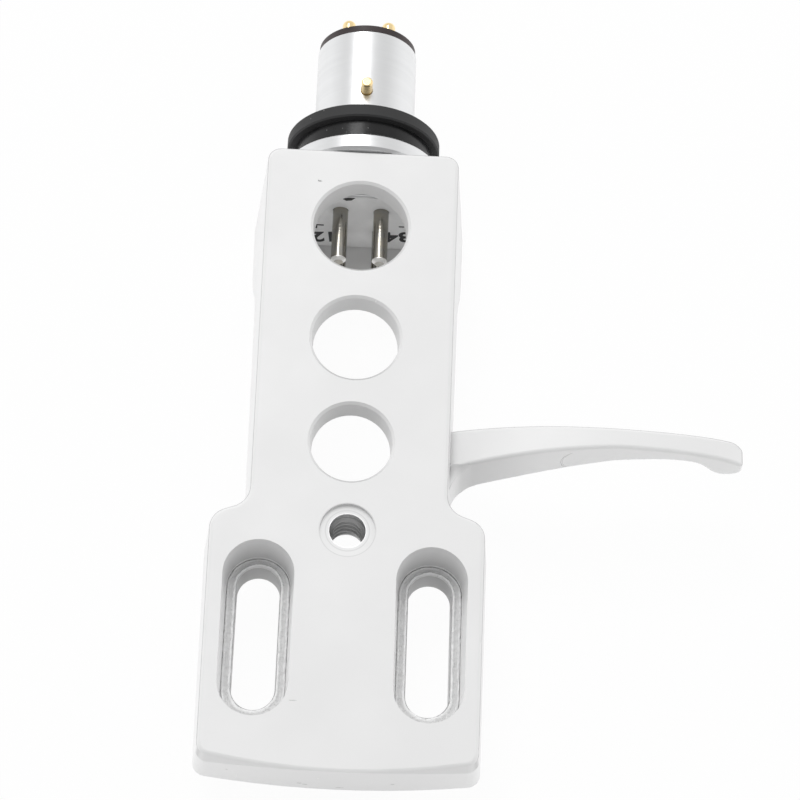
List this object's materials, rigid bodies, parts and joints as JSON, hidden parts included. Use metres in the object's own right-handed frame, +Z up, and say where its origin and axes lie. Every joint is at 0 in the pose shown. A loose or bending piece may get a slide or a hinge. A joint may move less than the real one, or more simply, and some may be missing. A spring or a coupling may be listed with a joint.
{
  "type": "turntable headshell",
  "caption": "Die-cast headshell with a finger lift: carries a phono cartridge at the end of a tonearm and plugs into its bayonet collar.",
  "frame": {"origin": "on the connector barrel's axis, in the plane of the gasket's rear face, which seats on the tonearm's collar", "axes": "+Y along the barrel, back into the tonearm; +Z up, away from the record; +X to the side of the finger lift"},
  "size_m": [0.0403, 0.0645, 0.0124],
  "materials": {
    "white_paint": "satin white paint on die-cast aluminium",
    "plated_metal": "bright plated, turned",
    "black_rubber": "smooth black",
    "insulator_plastic": "dark, satin",
    "contact_metal": "gold plated",
    "label_sheet": "printed grey sheet",
    "screw_steel": "dark steel"
  },
  "bodies": {
    "root": {"shell": "white_paint", "connector_barrel": "plated_metal", "locating_pin": "plated_metal", "gasket": "black_rubber", "insulator": "insulator_plastic", "contact_pin_upper_left": "contact_metal", "contact_pin_upper_right": "contact_metal", "contact_pin_lower_left": "contact_metal", "contact_pin_lower_right": "contact_metal", "terminal_label": "label_sheet", "grub_screw": "screw_steel"}
  },
  "joints": []
}
